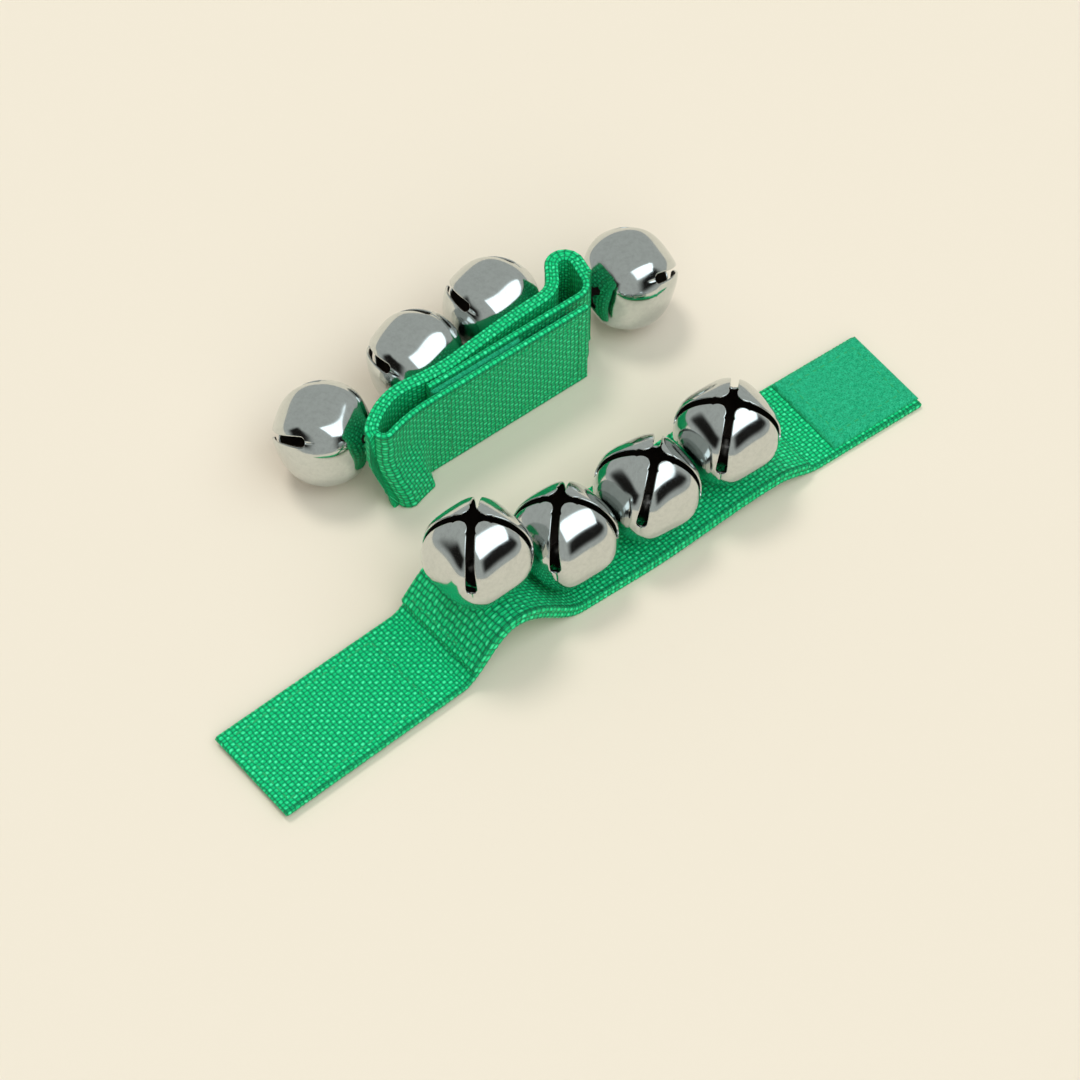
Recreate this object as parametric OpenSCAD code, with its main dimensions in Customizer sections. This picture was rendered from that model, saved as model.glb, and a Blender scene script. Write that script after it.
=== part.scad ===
// A pair of wrist bell bands, each a strip of woven webbing with four jingle bells.
// One band lies open and the other is fastened into a flattened loop on its edge.
// Millimetres, +Z up. X runs along the open band, from its hook end to its pile end.

/* [Webbing] */
// Width of the webbing
webbing_w = 25; // [24:0.5:26]
// Thickness of one layer of webbing
webbing_t = 1.5; // [1.4:0.05:1.5]
// Thickness of the hook patch and of the pile patch
patch_t = 0.95; // [0.9:0.05:1]
// Width of the hook patch and of the pile patch
patch_w = 23; // [20:0.5:24]
// Length of the hook patch
hook_len = 41; // [30:1:42]
// Length of the pile patch
pile_len = 25; // [20:1:26]

/* [Bells] */
// Width of a bell across two opposite petals
bell_flat = 22; // [20:0.5:22]
// Width of a bell across two opposite petal corners
bell_corner = 24; // [23.5:0.1:24]
// Height of the petals' meeting point above the middle of the bell
bell_tip = 12.2; // [11.5:0.1:12.4]
// Thickness of the bell's sheet metal
shell_t = 0.6; // [0.5:0.05:0.7]
// Width of the slots between the petals
slot_w = 1.8; // [1.4:0.1:2]
// Width of the rounded end of a slot
slot_end_w = 2.4; // [2:0.1:3]
// Width of the opening where the petals meet
tip_hole = 4.4; // [4:0.2:5]
// Diameter of the steel pellet inside a bell
pellet_d = 6.4; // [5.5:0.1:6.4]
// Gap between a bell and the webbing that it stands on
bell_gap = 0.4; // [0.4:0.05:0.6]

/* [Shanks and keepers] */
// Thickness of the flat eye under a bell
eye_t = 1; // [0.8:0.1:1.2]
// Outer diameter of the eye
eye_d = 2.3; // [2.1:0.1:2.4]
// Diameter of the keeper cord through the eye
keeper_d = 1.2; // [1:0.05:1.2]
// Length of the keeper cord
keeper_len = 5; // [4:0.5:6]
// Clearance between the keeper cord and the eye that turns on it
keeper_gap = 0.05; // [0.03:0.01:0.08]

/* [Open band] */
// Height of the arch that the webbing keeps from being folded there
arch_h = 11.5; // [9:0.5:12]
// How far the hook tail swings out of line, in degrees
tail_skew = 4.3; // [3:0.1:5]

/* [Closed band] */
// Distance that the bell strip stands off the loop beside its right fold
strip_slack = 0; // [0:0.1:0.6]

/* [Hidden] */
$fn = 48;
bell_r = bell_flat / 2;
layers_t = 2 * webbing_t;
bell_z = layers_t + bell_gap + bell_r;
cup_r = bell_r - 0.05;
eye_bore = keeper_d + 2 * keeper_gap;
keeper_bore = keeper_d;

// Places along the open band, measured along X
hook_end_x = -90.5;
pile_end_x = 90;
arch_x = -27.6;
arch_run_left = 15;
arch_run_right = 20;
rise_x = 8;
rise_top_x = 47;
rise_end_x = 60;
rise_h = 3.4;
open_bell_x = [arch_x, -4.9, 18.9, 40.8];
// How far each bell stands from the middle of the webbing's width
open_bell_y = [0, -1.7, -2.2, -1.8];
// Sideways and lengthways tilt of each bell about its own middle, in degrees
open_bell_nod = [[-7, 0], [-11, 0], [3, 13.5], [4.4, 4]];
hook_fold_x = -41;
pile_fold_x = 58.6;
flex_x = [-13.4, 6.6, 29.7];
strip_ends_x = [-37.7, 55.9];
patch_inset = 1;
// Half gaps beside a fold line, wide enough for the fold to close
fold_gap = 0.6;
flex_gap = 0.3;
skew_gap = 1.3;
path_step = 1.3;
loop_step = 0.75;

// The closed loop's middle line seen from above: length of each stretch and its turn to the left
loop_start = [33.3, 41.1];
loop_heading = 182;
loop_round = [
    [45, 0], [12, 18], [5.5, -155], [8.5, -26], [6, -26], [7, 6], [7, 10],
    [25, -5], [7, 53], [4, 0], [6.5, -157]
];
// The last turn brings the inner end parallel to the flap, with the two patches between them
last_turn = [6, -78];
inner_end_len = 43;
patch_gap = 0.15;
flap_fold_s = 44.8;
strip_ends_s = [60.75, 138];
slack_s = [116, 130];
closed_bell_s = [66, 89.2, 112, 134.2];
// Direction of each closed bell's petals: compass angle from +X, and angle above level
closed_bell_aim = [[132, -9], [110.5, 2.5], [105.5, 8], [-6, -9.5]];
// Turn of each closed bell's slots about its own axis
closed_bell_roll = [-5, -12, -3, 5];

stitch_w = 0.8;
stitch_h = 0.3;
stitch_inset = 3;

// Moves the whole pair so that the origin is the middle of its footprint
centre = [0.6, -27.85, 0];

// ---- Shape of the open band ----

// A smooth hump, 1 where u is 0 and level with the ground where u is 1
function hump(u) = (1 + cos(180 * u)) / 2;

// Height of the webbing's underside above the ground
function lift(x) =
    x < arch_x - arch_run_left ? patch_t
    : x < arch_x ? patch_t + (arch_h - patch_t) * hump((arch_x - x) / arch_run_left)
    : x < arch_x + arch_run_right ? arch_h * hump((x - arch_x) / arch_run_right)
    : x < rise_x ? 0
    : x < rise_top_x ? rise_h * hump((rise_top_x - x) / (rise_top_x - rise_x))
    : x < rise_end_x ? rise_h * hump((x - rise_top_x) / (rise_end_x - rise_top_x))
    : 0;
function slope(x) = atan((lift(x + 0.01) - lift(x - 0.01)) / 0.02);

// The point that lies h above the underside at x, at right angles to it
function above(x, h) = [x - h * sin(slope(x)), lift(x) + h * cos(slope(x))];

// Multiples of the step between a and b, with a and b themselves. Layers that touch share them.
function steps(a, b, step) = concat(
    [a], [for (k = [ceil(a / step + 0.05):1:floor(b / step - 0.05)]) k * step], [b]
);

function flat(x) = lift(x - 0.6) == lift(x + 0.6);

// Stations from a to b, without those in the middle of a level stretch
function stations(a, b) = [
    for (x = steps(a, b, path_step)) if (x - a < 0.01 || b - x < 0.01 || !flat(x)) x
];

function reversed(list) = [for (i = [len(list) - 1:-1:0]) list[i]];

// A layer of the open band from x = a to x = b, between two heights above the underside
module open_layer(a, b, low, high, width = webbing_w) {
    xs = stations(a, b);
    rotate([90, 0, 0])
        linear_extrude(width, center = true)
            polygon(concat([for (x = xs) above(x, low)], [for (x = reversed(xs)) above(x, high)]));
}

// Swings the hook tail and the first bell's stretch out of line, about the first flex line
module skewed() {
    translate([flex_x[0], 0, 0])
        rotate([0, 0, tail_skew])
            translate([-flex_x[0], 0, 0])
                children();
}

// Places children on the underside at x, square to it
module on_open(x) {
    translate([x, 0, lift(x)])
        rotate([0, -slope(x), 0])
            children();
}

module skew_if(yes) {
    if (yes) skewed() children();
    else children();
}

module under_bell(i) {
    on_open(open_bell_x[i])
        translate([0, open_bell_y[i], 0])
            children();
}

module open_bell_place(i) {
    skew_if(i == 0) under_bell(i) children();
}

// A closed line of stitching round a patch
module stitch_frame(length, width) {
    linear_extrude(stitch_h)
        difference() {
            square([length, width], center = true);
            square([length - 2 * stitch_w, width - 2 * stitch_w], center = true);
        }
}

// ---- Shape of the closed band ----

function chord(length, turn) = turn == 0 ? length : length * sin(turn / 2) / (turn / 2 * PI / 180);
function along(p, heading, length, turn) =
    p + chord(length, turn) * [cos(heading + turn / 2), sin(heading + turn / 2)];

// The straight stretch before the last turn, as long as the gap between the layers asks
function total(list, k, i = 0) = i == len(list) ? 0 : list[i][k] + total(list, k, i + 1);
function after(list, i = 0, p = loop_start, heading = loop_heading) =
    i == len(list) ? p
    : after(list, i + 1, along(p, heading, list[i][0], list[i][1]), heading + list[i][1]);
side_heading = loop_heading + total(loop_round, 1);
inward = [sin(loop_heading), -cos(loop_heading)];
side_len = (
    webbing_t + 2 * patch_t + patch_gap
        - (along(after(loop_round), side_heading, last_turn[0], last_turn[1]) - loop_start) * inward
) / ([cos(side_heading), sin(side_heading)] * inward);
loop_stretches = concat(loop_round, [[side_len, 0], last_turn, [inner_end_len, 0]]);
loop_end_s = total(loop_stretches, 0) - 0.01;

// Where each stretch of the loop starts: distance from the hook end, point and heading
loop_marks = [
    for (i = 0, s = 0, p = loop_start, heading = loop_heading; i < len(loop_stretches);
         s = s + loop_stretches[i][0],
         p = along(p, heading, loop_stretches[i][0], loop_stretches[i][1]),
         heading = heading + loop_stretches[i][1],
         i = i + 1)
        [s, p, heading]
];

function stretch_at(s) = max([for (i = [0:len(loop_marks) - 1]) if (loop_marks[i][0] <= s) i]);

// Point and heading of the loop's middle line at a distance s from the hook end
function loop_at(s) =
    let(
        i = stretch_at(s),
        mark = loop_marks[i],
        part = (s - mark[0]) / loop_stretches[i][0],
        turn = loop_stretches[i][1] * part
    )
    [along(mark[1], mark[2], s - mark[0], turn), mark[2] + turn];

// The point that lies out from the loop's middle line, away from the wrist
function outside(s, out) =
    let(here = loop_at(s)) here[0] + out * [-sin(here[1]), cos(here[1])];

// Stations from a to b, without those in the middle of the two long straight ends
function straight(s) = let(stretch = loop_stretches[stretch_at(s)]) stretch[1] == 0 && stretch[0] > 40;
function loop_stations(a, b) = [
    for (s = steps(a, b, loop_step)) if (s == a || s == b || !straight(s)) s
];

// A layer of the closed band, upright, between two distances out from the middle line
module closed_layer(a, b, inner, outer, width = webbing_w) {
    ss = loop_stations(a, b);
    translate([0, 0, (webbing_w - width) / 2])
        linear_extrude(width)
            polygon(concat([for (s = ss) outside(s, inner)], [for (s = reversed(ss)) outside(s, outer)]));
}

// How far the bell strip stands off the loop: touching it, but slack beside the right fold
function strip_off(s) =
    let(middle = (slack_s[0] + slack_s[1]) / 2, half = (slack_s[1] - slack_s[0]) / 2)
    webbing_t / 2 + (abs(s - middle) < half ? strip_slack * hump((s - middle) / half) : 0);

// Places children on the loop's outer face at s, with their +Z pointing away from the wrist
module on_closed(s) {
    here = loop_at(s);
    foot = outside(s, -webbing_t / 2);
    translate([foot[0], foot[1], webbing_w / 2])
        rotate([0, 0, here[1]])
            rotate([-90, 0, 0])
                rotate([0, 0, 180])
                    children();
}

function closed_middle(s) =
    let(p = outside(s, bell_z - webbing_t / 2)) [p[0], p[1], webbing_w / 2];

// ---- Bells ----

// The petal facing +X, filled to the bell's axis: a pointed arch, rounded at its corners
module petal_form(inset) {
    arch_off = (pow(bell_tip, 2) - pow(bell_r, 2)) / (2 * bell_r);
    intersection() {
        translate([-arch_off, 0, 0])
            rotate([90, 0, 0])
                cylinder(r = bell_r + arch_off - inset, h = 2 * bell_corner, center = true, $fn = 96);
        sphere(r = bell_corner / 2 - inset, $fn = 96);
    }
}

// The wedge between two slots that a petal fills
module petal_wedge() {
    near = tip_hole / 2;
    side = slot_w / sqrt(2);
    linear_extrude(bell_corner)
        polygon([
            [near, near - side], [bell_corner, bell_corner - side],
            [bell_corner, side - bell_corner], [near, side - near]
        ]);
}

module bell_cup() {
    rim = shell_t;
    difference() {
        union() {
            intersection() {
                sphere(r = cup_r, $fn = 96);
                translate([0, 0, -bell_corner / 2])
                    cube([bell_corner * 2, bell_corner * 2, bell_corner], center = true);
            }
            cylinder(r = cup_r, h = rim);
        }
        sphere(r = cup_r - shell_t, $fn = 96);
    }
}

// A bell about its own middle: a round cup below and four petals above, closing on a star
module bell() {
    bell_cup();
    difference() {
        for (turn = [0:90:270])
            rotate([0, 0, turn])
                intersection() {
                    difference() {
                        petal_form(0);
                        petal_form(shell_t);
                    }
                    petal_wedge();
                }
        for (turn = [45, 135])
            rotate([0, 0, turn])
                translate([0, 0, slot_end_w / 2 + shell_t])
                    rotate([0, 90, 0])
                        cylinder(d = slot_end_w, h = 2 * bell_corner, center = true);
    }
}

// The flat eye under a bell, about the keeper's axis, with its top cut to the cup that it is welded to
module eye() {
    difference() {
        union() {
            rotate([0, 90, 0])
                cylinder(d = eye_d, h = eye_t, center = true);
            translate([-eye_t / 2, -eye_d / 2, 0])
                cube([eye_t, eye_d, webbing_t + bell_gap + 1]);
        }
        rotate([0, 90, 0])
            cylinder(d = eye_bore, h = 2 * eye_t, center = true);
        translate([0, 0, bell_z - webbing_t])
            sphere(r = cup_r, $fn = 96);
    }
}

// What is cut out of the webbing for the keeper and for the eye, above the underside
module eye_cut() {
    room = 0.4;
    translate([0, 0, webbing_t]) {
        rotate([0, 90, 0])
            cylinder(d = keeper_bore, h = keeper_len + 0.2, center = true);
        translate([-eye_t / 2 - room, -eye_d / 2 - room, -eye_d / 2 - 0.05])
            cube([eye_t + 2 * room, eye_d + 2 * room, eye_d / 2 + 2 * webbing_t]);
        translate([0, 0, webbing_t])
            cube([eye_t + 2 * room, eye_d + 4 * room, 2 * webbing_t], center = true);
    }
}

module keeper() {
    translate([0, 0, webbing_t])
        rotate([0, 90, 0])
            cylinder(d = keeper_d, h = keeper_len, center = true);
}

// ---- Open band nodes ----

// Where each bell's stretch of webbing starts and ends
function stretch_from(i) =
    i == 0 ? hook_fold_x + fold_gap : flex_x[i - 1] + flex_gap;
function stretch_to(i) =
    i == 3 ? pile_fold_x - fold_gap : flex_x[i] - (i == 0 ? skew_gap : flex_gap);

module open_webbing(i) {
    color("mediumseagreen")
        skew_if(i == 0)
            difference() {
                open_layer(stretch_from(i), stretch_to(i), 0, webbing_t);
                under_bell(i) eye_cut();
            }
}

module open_bell_strip(i) {
    from = i == 0 ? strip_ends_x[0] : stretch_from(i);
    to = i == 3 ? strip_ends_x[1] : stretch_to(i);
    color("mediumseagreen")
        skew_if(i == 0)
            difference() {
                open_layer(from, to, webbing_t, layers_t);
                under_bell(i) eye_cut();
            }
}

module open_strip_stitching(i) {
    x = i == 0 ? strip_ends_x[0] + path_step : strip_ends_x[1] - 2 * path_step;
    color("limegreen")
        skew_if(i == 0)
            open_layer(x, x + path_step, layers_t, layers_t + stitch_h, patch_w - 2);
}

module open_keeper(i) {
    color("darkgreen")
        open_bell_place(i) keeper();
}

module open_bell_turned(i) {
    open_bell_place(i)
        translate([0, 0, bell_z])
            rotate([open_bell_nod[i][0], open_bell_nod[i][1], 0])
                children();
}

module open_bell(i) {
    color("silver")
        open_bell_turned(i) bell();
}

module open_shank(i) {
    color("silver")
        open_bell_place(i) translate([0, 0, webbing_t]) eye();
}

// The pellet lies at the lowest point inside its bell
module pellet_below(middle) {
    drop = cup_r - shell_t - pellet_d / 2 - 0.1;
    color("gray")
        translate(middle - [0, 0, drop])
            sphere(d = pellet_d, $fn = 48);
}

function open_middle(i) =
    let(
        p = above(open_bell_x[i], bell_z),
        d = [p[0] - flex_x[0], open_bell_y[i]],
        turn = i == 0 ? tail_skew : 0
    )
    [
        flex_x[0] + d[0] * cos(turn) - d[1] * sin(turn),
        d[0] * sin(turn) + d[1] * cos(turn),
        p[1]
    ];

module open_hook_tail() {
    color("mediumseagreen")
        skewed()
            open_layer(hook_end_x, hook_fold_x - fold_gap, 0, webbing_t);
}

hook_patch_x = hook_end_x + patch_inset + hook_len / 2;
pile_patch_x = pile_end_x - pile_len / 2;

module open_hook_patch() {
    color("darkgreen")
        skewed()
            translate([hook_patch_x, 0, patch_t / 2])
                cube([hook_len, patch_w, patch_t], center = true);
}

module open_hook_stitching() {
    color("limegreen")
        skewed()
            translate([hook_patch_x, 0, patch_t + webbing_t])
                stitch_frame(hook_len - 3, patch_w - 3);
}

module open_pile_tail() {
    color("mediumseagreen")
        open_layer(pile_fold_x + fold_gap, pile_end_x, 0, webbing_t);
}

module open_pile_patch() {
    color("mediumaquamarine")
        translate([pile_patch_x, 0.5, webbing_t + patch_t / 2])
            cube([pile_len, patch_w, patch_t], center = true);
}

module open_pile_stitching() {
    color("limegreen")
        translate([pile_patch_x, 0.5, webbing_t + patch_t])
            stitch_frame(pile_len - 2 * stitch_inset, patch_w - 2 * stitch_inset);
}

// ---- Closed band nodes ----

module closed_loop() {
    color("mediumseagreen")
        difference() {
            closed_layer(flap_fold_s + flex_gap, loop_end_s, -webbing_t / 2, webbing_t / 2);
            for (s = closed_bell_s) on_closed(s) eye_cut();
        }
}

module closed_flap() {
    color("mediumseagreen")
        closed_layer(0, flap_fold_s - flex_gap, -webbing_t / 2, webbing_t / 2);
}

module closed_hook_patch() {
    color("darkgreen")
        closed_layer(patch_inset, patch_inset + hook_len, -webbing_t / 2 - patch_t, -webbing_t / 2, patch_w);
}

module closed_hook_stitching() {
    inset = patch_inset + 2;
    color("limegreen")
        difference() {
            closed_layer(
                inset, inset + hook_len - 4,
                webbing_t / 2, webbing_t / 2 + stitch_h, patch_w - 3
            );
            closed_layer(
                inset + stitch_w, inset + hook_len - 4 - stitch_w,
                webbing_t / 2 - 1, webbing_t / 2 + 1, patch_w - 3 - 2 * stitch_w
            );
        }
}

module closed_pile_patch() {
    color("mediumaquamarine")
        closed_layer(loop_end_s - pile_len, loop_end_s, webbing_t / 2, webbing_t / 2 + patch_t, patch_w);
}

// The bell strip's outline between two distances out from its inner face
function strip_side(from, to, out) = [
    for (s = steps(from, to, loop_step)) outside(s, strip_off(s) + out)
];

module closed_bell_strip() {
    color("mediumseagreen")
        difference() {
            linear_extrude(webbing_w)
                polygon(concat(
                    strip_side(strip_ends_s[0], strip_ends_s[1], 0),
                    reversed(strip_side(strip_ends_s[0], strip_ends_s[1], webbing_t))
                ));
            for (s = closed_bell_s) on_closed(s) eye_cut();
        }
}

module closed_strip_stitching() {
    color("limegreen")
        for (s = [strip_ends_s[0] + loop_step, strip_ends_s[1] - 2 * loop_step])
            translate([0, 0, 1.5])
                linear_extrude(webbing_w - 3)
                    polygon(concat(
                        strip_side(s, s + loop_step, webbing_t),
                        reversed(strip_side(s, s + loop_step, webbing_t + stitch_h))
                    ));
}

module closed_keepers() {
    color("darkgreen")
        for (s = closed_bell_s) on_closed(s) keeper();
}

module closed_bell_turned(i) {
    translate(closed_middle(closed_bell_s[i]))
        rotate([0, 90 - closed_bell_aim[i][1], closed_bell_aim[i][0]])
            rotate([0, 0, closed_bell_roll[i]])
                children();
}

module closed_bell(i) {
    color("silver")
        closed_bell_turned(i) bell();
}

module closed_shank(i) {
    color("silver")
        on_closed(closed_bell_s[i]) translate([0, 0, webbing_t]) eye();
}

// ---- The pair ----

translate(centre) open_hook_tail();
translate(centre) open_hook_patch();
translate(centre) open_hook_stitching();
translate(centre) open_pile_tail();
translate(centre) open_pile_patch();
translate(centre) open_pile_stitching();
for (i = [0:3]) {
    translate(centre) open_webbing(i);
    translate(centre) open_bell_strip(i);
    translate(centre) open_keeper(i);
    translate(centre) open_bell(i);
    translate(centre) open_shank(i);
    translate(centre) pellet_below(open_middle(i));
    translate(centre) closed_bell(i);
    translate(centre) closed_shank(i);
    translate(centre) pellet_below(closed_middle(closed_bell_s[i]));
}
for (i = [0, 3])
    translate(centre) open_strip_stitching(i);
translate(centre) closed_loop();
translate(centre) closed_flap();
translate(centre) closed_hook_patch();
translate(centre) closed_hook_stitching();
translate(centre) closed_pile_patch();
translate(centre) closed_bell_strip();
translate(centre) closed_strip_stitching();
translate(centre) closed_keepers();
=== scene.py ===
"""Looks of a pair of wrist bell bands: woven webbing, hook and pile patches, stitching and nickel bells."""

import math

import bmesh
import bpy
import numpy as np
from mathutils import Matrix, Vector


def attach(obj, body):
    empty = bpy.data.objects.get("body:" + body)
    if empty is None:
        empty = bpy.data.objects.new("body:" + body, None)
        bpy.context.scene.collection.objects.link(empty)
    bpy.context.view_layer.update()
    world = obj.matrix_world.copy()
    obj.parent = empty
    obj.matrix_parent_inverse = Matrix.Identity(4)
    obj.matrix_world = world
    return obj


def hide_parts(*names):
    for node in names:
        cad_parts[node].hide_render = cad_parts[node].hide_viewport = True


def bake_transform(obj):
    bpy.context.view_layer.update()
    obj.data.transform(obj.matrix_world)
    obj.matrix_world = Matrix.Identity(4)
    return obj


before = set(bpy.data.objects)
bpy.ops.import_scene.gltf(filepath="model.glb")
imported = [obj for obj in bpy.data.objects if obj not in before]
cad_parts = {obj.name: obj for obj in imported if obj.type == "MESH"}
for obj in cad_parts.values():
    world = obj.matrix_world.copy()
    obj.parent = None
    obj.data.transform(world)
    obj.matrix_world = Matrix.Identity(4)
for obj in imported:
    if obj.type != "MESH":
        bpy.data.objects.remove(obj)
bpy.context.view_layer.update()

MM = 0.001

# ---- Sizes and places, in millimetres, as the CAD model has them ----

WEBBING_W, WEBBING_T = 25.0, 1.5
LAYERS_T = 2 * WEBBING_T
PATCH_T, PATCH_W, HOOK_LEN, PILE_LEN = 0.95, 23.0, 41.0, 25.0
BELL_R, BELL_CORNER_R, BELL_TIP, CUP_R = 11.0, 12.0, 12.2, 10.95
SHELL_T = 0.6
SLOT_HALF, SLOT_END_R, SLOT_END_Z = 0.9, 1.2, 1.8
BELL_GAP = 0.4
BELL_Z = LAYERS_T + BELL_GAP + BELL_R
CENTRE = np.array([0.6, -27.85, 0.0])

HOOK_END_X, PILE_END_X = -90.5, 90.0
ARCH_X, ARCH_H, ARCH_RUN_LEFT, ARCH_RUN_RIGHT = -27.6, 11.5, 15.0, 20.0
RISE_X, RISE_TOP_X, RISE_END_X, RISE_H = 8.0, 47.0, 60.0, 3.4
OPEN_BELL_X = [ARCH_X, -4.9, 18.9, 40.8]
OPEN_BELL_Y = [0.0, -1.7, -2.2, -1.8]
OPEN_BELL_NOD = [(-7, 0), (-11, 0), (3, 13.5), (4.4, 4)]
HOOK_FOLD_X, PILE_FOLD_X = -41.0, 58.6
FLEX_X = [-13.4, 6.6, 29.7]
STRIP_ENDS_X = [-37.7, 55.9]
TAIL_SKEW = 4.3
# The tail's skew sets in over this far to each side of the first flex line
SKEW_EASE = 7.0

LOOP_START, LOOP_HEADING = (33.3, 41.1), 182.0
LOOP_ROUND = [
    (45, 0), (12, 18), (5.5, -155), (8.5, -26), (6, -26), (7, 6), (7, 10),
    (25, -5), (7, 53), (4, 0), (6.5, -157),
]
LAST_TURN, INNER_END_LEN, PATCH_GAP = (6, -78), 43.0, 0.15
FLAP_FOLD_S = 44.8
STRIP_ENDS_S = [60.75, 138.0]
CLOSED_BELL_S = [66.0, 89.2, 112.0, 134.2]
CLOSED_BELL_AIM = [(132, -9), (110.5, 2.5), (105.5, 8), (-6, -9.5)]
CLOSED_BELL_ROLL = [-5, -12, -3, 5]

# ---- Camera, floor and lights ----

VIEW_ELEVATION, VIEW_AZIMUTH, VIEW_DISTANCE = 54.0, -36.22, 0.670
VIEW_FOV = math.radians(20.4480)
VIEW_TARGET = Vector((np.array([-3.7, 9.0, 0.0]) + CENTRE) * MM)


def make_camera():
    a, e = math.radians(VIEW_AZIMUTH), math.radians(VIEW_ELEVATION)
    forward = Vector((-math.sin(a) * math.cos(e), math.cos(a) * math.cos(e), -math.sin(e)))
    data = bpy.data.cameras.new("camera")
    data.sensor_fit = "HORIZONTAL"
    data.angle = VIEW_FOV
    data.clip_start, data.clip_end = 0.01, 20.0
    camera = bpy.data.objects.new("camera", data)
    bpy.context.scene.collection.objects.link(camera)
    camera.location = VIEW_TARGET - forward * VIEW_DISTANCE
    camera.rotation_mode = "QUATERNION"
    camera.rotation_quaternion = forward.to_track_quat("-Z", "Y")
    bpy.context.scene.camera = camera


class Nodes:
    """Short hand for building a node tree."""

    def __init__(self, tree):
        self.tree = tree
        self.tree.nodes.clear()

    def add(self, kind, **values):
        node = self.tree.nodes.new(kind)
        for name, value in values.items():
            if hasattr(node, name):
                setattr(node, name, value)
            else:
                node.inputs[name].default_value = value
        return node

    def put(self, target, value):
        """Links a socket to the target, or sets the target's own value."""
        if isinstance(value, bpy.types.NodeSocket):
            self.tree.links.new(value, target)
        else:
            target.default_value = value

    def math(self, operation, a, b=0.0, clamp=False):
        node = self.tree.nodes.new("ShaderNodeMath")
        node.operation = operation
        node.use_clamp = clamp
        self.put(node.inputs[0], a)
        self.put(node.inputs[1], b)
        return node.outputs[0]

    def ramp(self, value, low, high):
        """0 below low, 1 above high, smooth between; falls the other way when low is the larger."""
        node = self.tree.nodes.new("ShaderNodeMapRange")
        node.interpolation_type = "SMOOTHSTEP"
        swapped = low > high
        self.put(node.inputs["Value"], value)
        node.inputs["From Min"].default_value = min(low, high)
        node.inputs["From Max"].default_value = max(low, high)
        node.inputs["To Min"].default_value = 1.0 if swapped else 0.0
        node.inputs["To Max"].default_value = 0.0 if swapped else 1.0
        return node.outputs["Result"]

    def mix(self, factor, a, b):
        node = self.tree.nodes.new("ShaderNodeMix")
        node.data_type = "RGBA"
        self.put(node.inputs["Factor"], factor)
        self.put(node.inputs["A"], a)
        self.put(node.inputs["B"], b)
        return node.outputs["Result"]

    def noise(self, coordinates, scale, detail=2.0, roughness=0.5):
        node = self.tree.nodes.new("ShaderNodeTexNoise")
        self.put(node.inputs["Vector"], coordinates)
        node.inputs["Scale"].default_value = scale
        node.inputs["Detail"].default_value = detail
        node.inputs["Roughness"].default_value = roughness
        return node.outputs["Fac"]

    def stretched(self, coordinates, scale):
        node = self.tree.nodes.new("ShaderNodeVectorMath")
        node.operation = "MULTIPLY"
        self.put(node.inputs[0], coordinates)
        node.inputs[1].default_value = scale
        return node.outputs[0]

    def parts(self, vector):
        node = self.tree.nodes.new("ShaderNodeSeparateXYZ")
        self.put(node.inputs[0], vector)
        return node.outputs


ROOM_GREY = (0.46, 0.48, 0.46, 1)
ROOM_DARK = (0.010, 0.009, 0.008, 1)
SOFTBOX = (1.75, 1.95, 2.05, 1)
# The softbox's edges on a ceiling at height 1: where its light starts, and where it is full
SOFTBOX_X = [(-0.20, -0.10), (1.15, 1.05)]
SOFTBOX_Y = [(-1.15, -1.08), (-0.06, -0.14)]


def make_world():
    """A studio: a light grey sweep behind, a dark room in front, and a softbox overhead."""
    world = bpy.data.worlds.new("studio")
    bpy.context.scene.world = world
    world.use_nodes = True
    n = Nodes(world.node_tree)
    x, y, z = n.parts(n.add("ShaderNodeTexCoord").outputs["Generated"])
    a = math.radians(VIEW_AZIMUTH)
    back = n.math("ADD", n.math("MULTIPLY", x, -math.sin(a)), n.math("MULTIPLY", y, math.cos(a)))
    right = n.math("ADD", n.math("MULTIPLY", x, math.cos(a)), n.math("MULTIPLY", y, math.sin(a)))
    front = n.ramp(back, 0.14, -0.10)
    beside = n.ramp(n.math("ABSOLUTE", right), 0.30, 0.62)
    low = n.math("MULTIPLY", n.ramp(z, 0.68, 0.56), n.ramp(z, 0.10, 0.30))
    dark = n.math("MULTIPLY", n.math("MULTIPLY", front, beside), low)
    room = n.mix(dark, ROOM_GREY, ROOM_DARK)
    height = n.math("MAXIMUM", z, 0.05)
    sx, sy = n.math("DIVIDE", x, height), n.math("DIVIDE", y, height)
    inside = n.ramp(z, 0.4, 0.5)
    for value, edges in ((sx, SOFTBOX_X), (sy, SOFTBOX_Y)):
        for dark_at, full_at in edges:
            inside = n.math("MULTIPLY", inside, n.ramp(value, dark_at, full_at))
    colour = n.mix(inside, room, SOFTBOX)
    background = n.add("ShaderNodeBackground")
    n.put(background.inputs["Color"], colour)
    background.inputs["Strength"].default_value = 1.0
    out = n.add("ShaderNodeOutputWorld")
    n.put(out.inputs["Surface"], background.outputs[0])


def make_sun(name, energy, spread, toward):
    """A soft light from one side that the bells don't mirror."""
    data = bpy.data.lights.new(name, "SUN")
    data.energy = energy
    data.angle = math.radians(spread)
    data.color = (1.0, 0.98, 0.95)
    sun = bpy.data.objects.new(name, data)
    bpy.context.scene.collection.objects.link(sun)
    sun.rotation_mode = "QUATERNION"
    sun.rotation_quaternion = Vector(toward).to_track_quat("Z", "Y")
    sun.visible_glossy = False


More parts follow.
